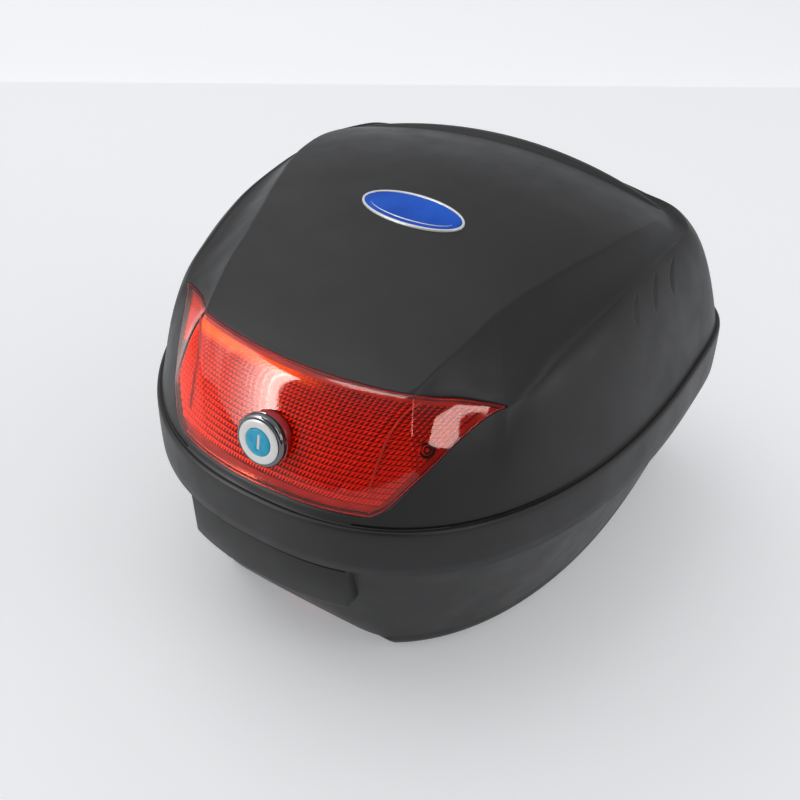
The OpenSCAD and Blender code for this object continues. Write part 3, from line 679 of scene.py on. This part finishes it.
def make_lens_edge():
    """The lens's cut edge, which gathers light and shows as a bright thin line."""
    c = LENS_COLUMN - 1.4 * LENS_GAP
    us = np.linspace(LENS_U0 + 0.01, 0.988, 60)
    cols = np.linspace(-c, c, 160)
    up = np.array([lens_point(np.array([c]), u, 0.7)[0] for u in us[1:-1]])
    down = np.array([lens_point(np.array([-c]), u, 0.7)[0] for u in us[::-1][1:-1]])
    path = np.concatenate([lens_point(cols, us[0], 0.7), up, lens_point(cols[::-1], us[-1], 0.9), down])
    edge = stands_for(tube("lens_cut_edge", path, 0.5, around=8), "lid", "lens")
    edge.data.materials[0] = LOOKS["lens_edge"]


def make_ribs():
    """The rib moulded inside each wing of the lens, next to its fold."""
    u = np.linspace(0.2, 0.9, 50)
    columns_at = 18.75 + 16 * (0.72 - u) ** 2
    for side, name in ((1, "right"), (-1, "left")):
        path = np.array([side_point(np.array([side * c]), v, 2.9)[0] for c, v in zip(columns_at, u)])
        rib = stands_for(tube("lens_rib_" + name, path, 0.9, False, 12), "lid", "lens")
        rib.data.materials[0] = LOOKS["lens_bed"]


def make_prisms():
    """The prism sheet behind the lens: small square pyramids, in a middle panel and two wings."""
    bed_cols = np.linspace(1.3 * LENS_GAP - LENS_COLUMN, LENS_COLUMN - 1.3 * LENS_GAP, 161)
    bed_rows = [side_point(bed_cols, u, BED_DEPTH) for u in np.linspace(LENS_U0 + 0.004, 0.99, 40)]
    bed = sheet_mesh("lens_bed", np.array(bed_rows), wrap=False)
    stands_for(bed, "lid", "reflector")
    bed.data.materials[0] = LOOKS["lens_bed"]
    middle = np.linspace(-LENS_FOLD + 0.05, LENS_FOLD - 0.05, 2 * GRID_COLS + 1)
    wing = np.linspace(LENS_FOLD + 0.12, LENS_COLUMN - 1.5, 2 * WING_COLS + 1)
    us = np.linspace(LENS_U0 + LENS_BORDER_U, LENS_U1 - LENS_TOP_BORDER_U, 2 * GRID_ROWS + 1)
    patches = [("prisms_middle", middle), ("prisms_right", wing), ("prisms_left", -wing[::-1])]
    for name, c in patches:
        points, peak, foot = (np.array([lens_point(c, u, depth) for u in us])
                              for depth in (PRISM_DEPTH, PRISM_PEAK, BED_DEPTH))
        points[1::2, 1::2] = peak[1::2, 1::2]
        points = np.concatenate([foot[:1], points, foot[-1:]])
        ends = np.concatenate([foot[:1], foot, foot[-1:]])
        points = np.concatenate([ends[:, :1], points, ends[:, -1:]], 1)
        verts, quads = grid(points, False)
        rows, cols = points.shape[:2]
        faces = []
        for loop in quads:
            tops = [k for k in loop if (k // cols) % 2 == 0 and 0 < k // cols < rows - 1
                    and (k % cols) % 2 == 0 and 0 < k % cols < cols - 1]
            if len(tops) == 1:
                i = loop.index(tops[0])
                faces += [(loop[i], loop[i - 3], loop[i - 2]), (loop[i], loop[i - 2], loop[i - 1])]
            else:
                faces.append(loop)
        hole = np.minimum(from_axis(verts, in_screw(1)), from_axis(verts, in_screw(-1))) < SCREW_HOLE_R
        sheet = face_out(add(name, verts, without(faces, hole), smooth=False))
        if name == "prisms_middle":
            stands_for(sheet, "lid", "reflector", "lens_backing")
        else:
            stands_for(sheet, "lid", "reflector")


def in_screw(side):
    """From a lens screw's frame to the case's frame: on the CAD model's screw axis, but nearer to the lens."""
    a, b = math.radians(SCREW_TILT), math.radians(side * SCREW_TURN)
    turn = np.array(Matrix.Rotation(b, 3, "Z") @ Matrix.Rotation(a, 3, "X"))
    place = np.array([side * SCREW_PLACE[0], *SCREW_PLACE[1:]])
    return lambda points: np.asarray(points, float) @ turn.T + place


def make_bosses():
    """The two dark screws seen through the lens, each in a moulded cup whose dark plastic also stands in for
    painted shade about the screw.
    """
    for side, name in ((1, "right"), (-1, "left")):
        cup = [(3.4, -3.0), (3.4, 0.1), (3.8, 0.7), (5.0, 0.7), (5.5, 0.2), (5.8, -3.0)]
        # The cup is partly a real boss and partly painted shade: its dark trim plastic stands in for the shade
        # about each screw.
        stands_for(lathe("lens_boss_" + name, cup, in_screw(side), 48), "lid", "trim")
        head = [(0.05, -0.7), (1.3, -0.7), (1.4, 0.5), (2.5, 0.35), (3.1, -0.2), (3.2, -0.8), (3.2, -1.5)]
        shank = [(1.5, -1.5), (1.5, -6.0), (0.05, -6.0)]
        screw = lathe("lens_screw_" + name, head + shank, in_screw(side), 32)
        stands_for(screw, "lid", "black_screw", "lens_screws")


# ---- Tub ----
def foot_mix(z):
    return np.clip((SPLIT_Z - z) / (SPLIT_Z - FOOT_R), 0, 1)


def tub_reach(q, z, inset):
    t = foot_mix(z)
    a = HALF_W - INSET + (FOOT_HALF_W - HALF_W + INSET) * t
    f = FRONT - INSET + (FOOT_FRONT - FRONT + INSET) * t
    b = BACK - INSET + (FOOT_BACK - BACK + INSET) * t
    return reach(q, a, f, b, WIDEST_Y + (FOOT_Y - WIDEST_Y) * t) - inset


def soft_max(a, b, k):
    h = np.clip(0.5 + 0.5 * (a - b) / k, 0, 1)
    return b + (a - b) * h + k * h * (1 - h)


def recess_reach(q, grow):
    """Distance from the apex axis to the edge of the recess under the floor, with the slot ahead of it."""
    low, high = np.zeros_like(q), np.full_like(q, FAR)
    turn = np.radians(q)
    for _ in range(HALVINGS):
        r = (low + high) / 2
        x, y = np.abs(r * np.sin(turn)), APEX_Y - r * np.cos(turn)
        dx = np.maximum(x - RECESS_W / 2 - grow + RECESS_CORNER, 0)
        dy = np.maximum(np.abs(y - RECESS_Y) - RECESS_L / 2 - grow + RECESS_CORNER, 0)
        inside = (np.hypot(dx, dy) < RECESS_CORNER) | ((x < RECESS_SLOT + grow) & (y < 0))
        low, high = np.where(inside, r, low), np.where(inside, high, r)
    return (low + high) / 2


def tub_rows(shift, foot, ceiling, grow):
    """Rows of the tub's wall from the recess outward, over the foot and up to the rim."""
    slot = math.degrees(math.atan2(RECESS_SLOT + grow, APEX_Y - RAMP_Y))
    extra = np.array([slot - 0.1, slot + 0.1, FINGERS_Q - 0.1, FINGERS_Q + 0.1, 10.9, 34.4])
    q = np.unique(np.concatenate([np.arange(0, 360, 1.0), extra, 360 - extra]))
    edge = np.minimum(recess_reach(q, grow), tub_reach(q, FOOT_R, FOOT_R + shift) - 0.5)
    rows = [polar(q, s * edge, ceiling) for s in (0.04, 0.35, 0.7, 0.92, 1.0)]
    rows += [polar(q, edge, z) for z in (ceiling - 0.5, foot + 0.4, foot)]
    flat = tub_reach(q, FOOT_R, FOOT_R + shift)
    rows += [polar(q, edge + (flat - edge) * s, foot) for s in (0.03, 0.35, 0.7)]
    for a in np.linspace(90, 0, 9):
        turn = math.radians(a)
        rows.append(polar(q, tub_reach(q, FOOT_R, FOOT_R * (1 - math.cos(turn)) + shift),
                          max(foot, FOOT_R * (1 - math.sin(turn)))))
    low, high = FINGERS_Z
    extra = [low - 0.3, low + 0.3, high - 0.3, high + 0.3]
    for z in np.unique(np.concatenate([np.linspace(FOOT_R + 4, SPLIT_Z - 1, 22), extra])):
        rows.append(polar(q, tub_reach(q, z, shift), z))
    top = rim(q, INSET + 1 + shift)
    for z in (SPLIT_Z, 130, 140, 147):
        rows.append(polar(q, top, z))
    rows = np.array(rows)
    ahead = fold(q) < slot
    rows[:, ahead, 2] = np.maximum(rows[:, ahead, 2], ceiling)
    ramp = RAMP_Y + shift - RAMP_SLOPE * rows[..., 2]
    rows[..., 1] = np.where(rows[..., 2] > ceiling + 0.1, soft_max(rows[..., 1], ramp, 9.0),
                            np.maximum(rows[..., 1], ramp + 2.2))
    behind_grip = (fold(q) < FINGERS_Q)[None, :] & (rows[..., 2] > low - shift) & (rows[..., 2] < high + shift)
    rows[..., 1] = np.where(behind_grip, np.maximum(rows[..., 1], FINGERS_Y + shift), rows[..., 1])
    return rows


def make_tub():
    """The tub's outer and inner skins, joined at the rim and closed under the floor and over it."""
    outer = tub_rows(0.0, 0.0, RECESS_Z, 0.0)
    inner = tub_rows(WALL, WALL, RECESS_Z + 3.5, 3.5)
    verts_o, quads_o = grid(outer, True)
    verts_i, quads_i = grid(inner, True)
    n = len(verts_o)
    rows, cols = outer.shape[:2]
    quads_i = [tuple(k + n for k in reversed(f)) for f in quads_i]
    last = (rows - 1) * cols
    lip = ring_join(last, n + last, cols)
    caps = [tuple(range(cols))[::-1], tuple(n + k for k in range(cols))]
    tub = add("tub_skin", np.vstack([verts_o, verts_i]), quads_o + quads_i + lip + caps)
    sharp_by_angle(face_out(tub), 40)
    stands_for(tub, "base", "shell", "tub")


def front_y(x, inset):
    """The rim's front outline, an inset inside it."""
    return WIDEST_Y - (FRONT - inset) * (1 - (np.abs(x) / (HALF_W - inset)) ** FRONT_POWER) ** (1 / FRONT_POWER)


def make_grip():
    """The block under the band: a curved face with rounded edges, hollow at the back."""
    xs = np.linspace(-GRIP_HALF_W, GRIP_HALF_W, 49)
    profile = [(SPLIT_Z - 1.4, 3.4), (SPLIT_Z - 1.4, 0.9), (SPLIT_Z - 2.2, 0.6), (100, 0.6), (GRIP_Z + 3, 0.6),
               (GRIP_Z + 0.8, 1.2), (GRIP_Z, 3.0), (GRIP_Z, 3.8)]
    rows = np.array([[(x, front_y(x, i), z) for x in xs] for z, i in profile])
    verts, quads = grid(rows, False)
    verts = list(map(tuple, verts))
    for side, column in ((-1, 0), (1, len(xs) - 1)):
        start = len(verts)
        verts += [(side * GRIP_HALF_W, GRIP_BACK_Y, z) for z, _ in profile]
        for j in range(len(profile) - 1):
            a, b = j * len(xs) + column, (j + 1) * len(xs) + column
            quads.append((a, b, start + j + 1, start + j))
    block = face_out(add("front_grip_block", verts, quads))
    solidify(block, 3.0)
    bevel(block, 1.4, 3, 50)
    stands_for(block, "base", "trim", "front_grip")


# ---- Badge ----
def make_badge():
    t = np.arange(128) * 2 * math.pi / 128

    def loop(grow, lift):
        x, y = (BADGE_A + grow) * np.cos(t), BADGE_Y + (BADGE_B + grow) * np.sin(t)
        return np.stack([x, y, panel_z(x, y) + lift], -1)
    edge = [(0, -0.6), (0, 0.9), (-0.35, 1.35), (-0.9, 1.5), (-1.5, 1.3), (-1.8, 0.9), (-1.9, 0.2), (-1.9, -0.6)]
    rim_obj = sheet_mesh("badge_ring", np.array([loop(g, z) for g, z in edge]))
    stands_for(face_out(rim_obj), "lid", "silver", "badge_rim")
    rows = [loop(-1.9, -0.5)]
    for s in np.linspace(1, 0.04, 16):
        x, y = (BADGE_A - 1.9) * s * np.cos(t), BADGE_Y + (BADGE_B - 1.9) * s * np.sin(t)
        rows.append(np.stack([x, y, panel_z(x, y) + 0.75 + 0.5 * (1 - s**2)], -1))
    face = sheet_mesh("badge_enamel", np.array(rows), cap=True)
    stands_for(face_out(face), "lid", "blue_enamel", "badge_face")
    a = np.radians(np.arange(200, 350, 3.0))
    x, y = (BADGE_A - 6.5) * np.cos(a), BADGE_Y + (BADGE_B - 5.2) * np.sin(a)
    line = np.stack([x, y, panel_z(x, y) + 0.92], -1)
    radius = 0.5 * np.sin(np.linspace(0.15, math.pi - 0.15, len(a)))
    stands_for(tube("badge_line", line, radius, False, 8), "lid", "silver")


# ---- Lock ----
STEM_R, KEY_HEAD_R, KEY_R = 10.8, 9.8, 7.5
BARREL_BORE_R = 10.86
SLOT_W, SLOT_H = 3.0, 12.0


def make_lock():
    """The chrome barrel, the collar about it in the lens, the silver button and the key cylinder."""
    front_ring = [(15.6, 6.0), (15.6, 1.6), (15.85, 1.25), (16.5, 1.15), (17.6, 1.5), (18.3, 2.2), (18.6, 3.2),
                  (18.6, 5.0), (18.2, 5.3)]
    back_ring = [(17.6, 5.4), (17.6, 6.0), (18.2, 6.1), (18.6, 6.4), (18.6, 6.8), (17.0, 7.0), (12.2, 7.0)]
    barrel = [(12.2, 32), (BARREL_BORE_R, 32), (BARREL_BORE_R, 6.0)]
    bezel = lathe("lock_bezel_ring", front_ring + back_ring + barrel, in_lock, 128)
    stands_for(bezel, "lid", "chrome", "lock_bezel")
    outline = [(12.4, 7.2), (15.2, 7.2), (16.2, 7.7), (16.8, 9.0), (16.9, 14.6), (12.4, 14.6)]
    collar = lathe("lock_collar_ring", outline, in_lock, 96)
    stands_for(collar, "lid", "reflector", "lock_collar")
    collar.data.materials[0] = LOOKS["lens_edge"]
    cap = [(9.86, 0.35), (10.0, 0.08), (10.3, 0.0), (14.3, 0.0), (15.0, 0.15), (15.4, 0.5), (15.5, 0.7),
           (15.3, 0.8)]
    stem = [(STEM_R, 0.8), (STEM_R, 35.9), (7.56, 35.9), (7.56, 3.4), (9.86, 3.4)]
    button = lathe("lock_button_cap", cap + stem, in_lock, 128)
    stands_for(button, "button", "silver", "lock_button")
    make_key_head()


def slotted_disc(radius, z_front, z_back, tabs):
    """A disc with a slot through it, and a small tab at each of the tab angles."""
    angles = np.radians(np.arange(0, 360, 3.0))
    spread = [np.exp(-(np.degrees(np.angle(np.exp(1j * (angles - math.radians(t))))) / 9) ** 4) for t in tabs]
    outline = radius - 0.35 + 0.35 * np.clip(sum(spread), 0, 1)
    half_w, half_h = SLOT_W / 2, SLOT_H / 2

    def slot_point(a):
        x, y = math.cos(a), math.sin(a)
        core = max(abs(y) * half_h - (half_h - half_w), 0)
        k = np.clip(y * half_h, -(half_h - half_w), half_h - half_w)
        narrowing = 1 if core == 0 else math.sqrt(max(1 - (core / half_w) ** 2 * 0.9, 0.05))
        return half_w * x * narrowing, k + (y * half_h - k)
    inner = np.array([slot_point(a) for a in angles])
    outer = np.stack([outline * np.cos(angles), outline * np.sin(angles)], -1)

    def ring(points, z, k=1.0):
        return np.column_stack([points * k, np.full(len(points), z)])
    middle = outer * 0.55 + inner * 0.45
    rows = [ring(inner, z_back), ring(inner, z_front + 0.5), ring(inner * 1.08, z_front + 0.12),
            ring(inner * 1.16, z_front), ring(middle, z_front), ring(outer * 0.965, z_front),
            ring(outer * 0.99, z_front + 0.15), ring(outer, z_front + 0.5), ring(outer, z_back)]
    return np.array(rows)


def make_key_head():
    """Blue head of the key cylinder with the slot, and the pale metal inside the slot."""
    rows = slotted_disc(KEY_HEAD_R, -0.2, 3.0, (90, 215))
    verts, quads = grid(rows, True)
    quads += ring_join((rows.shape[0] - 1) * rows.shape[1], 0, rows.shape[1])
    head = add("key_head", in_lock(verts), quads)
    sharp_by_angle(face_out(head), 40)
    bore = SLOT_H / 2 + 0.9
    section = [(bore, 3.0), (KEY_R, 3.0), (KEY_R, 36), (0.3, 36), (0.3, 17.2), (bore, 17.2)]
    body = lathe("key_body", section, in_lock, 64)
    stands_for(head, "key", "key_blue", "key_cylinder")
    stands_for(body, "key", "steel")
    shutter = bmesh.new()
    bmesh.ops.create_cube(shutter, size=1.0)
    bmesh.ops.scale(shutter, vec=(SLOT_W - 0.8, SLOT_H - 0.9, 1.2), verts=shutter.verts)
    bmesh.ops.bevel(shutter, geom=shutter.edges[:], offset=0.3, segments=3, affect="EDGES", profile=0.5)
    points = np.array([v.co[:] for v in shutter.verts]) + (0, 0, 0.85)
    faces = [tuple(v.index for v in f.verts) for f in shutter.faces]
    shutter.free()
    metal = face_out(add("key_slot_shutter", in_lock(points), faces))
    stands_for(metal, "key", "silver", "key_slot_liner")


# ---- Stage ----
STAGE_HALF_W, PAPER_GLOW = 7000, 0.26


def make_stage():
    """A pale table whose far edge runs level in the photo's view, and a paler backdrop behind it."""
    a = math.radians(CAMERA["azimuth"])
    away, along = np.array([-math.sin(a), math.cos(a), 0]), np.array([math.cos(a), math.sin(a), 0])
    for name, near, far, z, colour in (("floor", -6000, 880, 0, (0.86, 0.865, 0.875)),
                                       ("backdrop", -6500, 9000, -30, (0.95, 0.955, 0.965))):
        plan = ((-STAGE_HALF_W, near), (STAGE_HALF_W, near), (STAGE_HALF_W, far), (-STAGE_HALF_W, far))
        corners = [along * x + away * y + (0, 0, z) for x, y in plan]
        sheet = add(name, corners, [(0, 1, 2, 3)])
        paper = Look(name + "_paper", colour, 0.6)
        paper.vary_roughness(paper.noise(6), 0.55, 0.65)
        paper.shader.inputs["Emission Color"].default_value = (0.97, 0.98, 1, 1)
        paper.shader.inputs["Emission Strength"].default_value = PAPER_GLOW
        sheet.data.materials.append(paper.material)


def soft_box(name, energy, width, height, azimuth, elevation, distance, lean=0.0, gloss_only=False):
    """A soft box that faces the case from a direction: azimuth from +X towards +Y, in degrees."""
    light = bpy.data.lights.new(name, "AREA")
    light.shape = "RECTANGLE"
    light.energy, light.size, light.size_y = energy, width, height
    obj = bpy.data.objects.new(name, light)
    bpy.context.scene.collection.objects.link(obj)
    a, e = math.radians(azimuth), math.radians(elevation)
    middle = Vector((0, 0, 0.18))
    away = Vector((math.cos(e) * math.cos(a), math.cos(e) * math.sin(a), math.sin(e)))
    obj.location = middle + away * distance
    turn = away.to_track_quat("Z", "Y").to_matrix() @ Matrix.Rotation(math.radians(lean), 3, "Z")
    obj.rotation_euler = turn.to_euler()
    obj.visible_diffuse = not gloss_only


GLOW_STRIPS = 12


def make_lights():
    """A white room that is darker on the side of the photographer, and soft lights from above and both sides."""
    scene = bpy.context.scene
    scene.view_settings.view_transform = "Standard"
    world = bpy.data.worlds.new("studio")
    scene.world = world
    world.use_nodes = True
    tree = world.node_tree
    coords, dot = tree.nodes.new("ShaderNodeTexCoord"), tree.nodes.new("ShaderNodeVectorMath")
    dot.operation = "DOT_PRODUCT"
    dot.inputs[1].default_value = Vector((0.5, -0.8, 0.12)).normalized()
    span = tree.nodes.new("ShaderNodeMapRange")
    span.inputs["From Min"].default_value, span.inputs["From Max"].default_value = 0.1, 0.85
    span.inputs["To Min"].default_value, span.inputs["To Max"].default_value = 0.66, 0.13
    tree.links.new(coords.outputs["Generated"], dot.inputs[0])
    tree.links.new(dot.outputs["Value"], span.inputs["Value"])
    background = tree.nodes["Background"]
    background.inputs["Color"].default_value = (0.96, 0.975, 1.0, 1)
    tree.links.new(span.outputs["Result"], background.inputs["Strength"])
    # Narrow strips, each dimmer than the last: the lens's highlight, sharp on one side and fading on the other
    for k in range(GLOW_STRIPS):
        soft_box("glow_%d" % k, 4.6 * 0.76**k, 0.06, 1.5, -121.3 - 2.0 * k, 23 + 0.2 * k, 1.7, 17, True)
    soft_box("glow_far", 2.4, 0.5, 1.5, -150, 26, 1.74, 12, True)
    soft_box("high_left", 1.6, 0.42, 0.22, -131, 64, 1.8, 0, True)
    soft_box("front_right", 8, 0.22, 1.6, -31, 36, 1.8, -8, True)
    soft_box("overhead", 13, 2.4, 2.4, 172, 60, 2.5)
    soft_box("right", 5, 0.9, 0.7, 10, 17, 2.0)


CAMERA = {"azimuth": 31.83, "elevation": 40.03, "roll": 0.43, "distance": 0.8997, "focal": 44.96,
          "target": (-0.0415, 0.0381, 0.0491)}


def make_camera():
    a, e = math.radians(CAMERA["azimuth"]), math.radians(CAMERA["elevation"])
    back = Vector((math.sin(a) * math.cos(e), -math.cos(a) * math.cos(e), math.sin(e)))
    right = Vector((math.cos(a), math.sin(a), 0))
    up = back.cross(right)
    roll = math.radians(CAMERA["roll"])
    x = right * math.cos(roll) + up * math.sin(roll)
    y = up * math.cos(roll) - right * math.sin(roll)
    camera = bpy.data.objects.new("camera", bpy.data.cameras.new("camera"))
    bpy.context.scene.collection.objects.link(camera)
    matrix = Matrix((x, y, back)).transposed().to_4x4()
    matrix.translation = Vector(CAMERA["target"]) + back * CAMERA["distance"]
    camera.matrix_world = matrix
    camera.data.lens = CAMERA["focal"]
    camera.data.sensor_width = 36
    camera.data.clip_end = 50
    bpy.context.scene.camera = camera


make_camera()
dress_cad_nodes()
make_lid()
make_rear_lip()
make_lens()
make_tub()
make_grip()
make_badge()
make_lock()
make_stage()
make_lights()
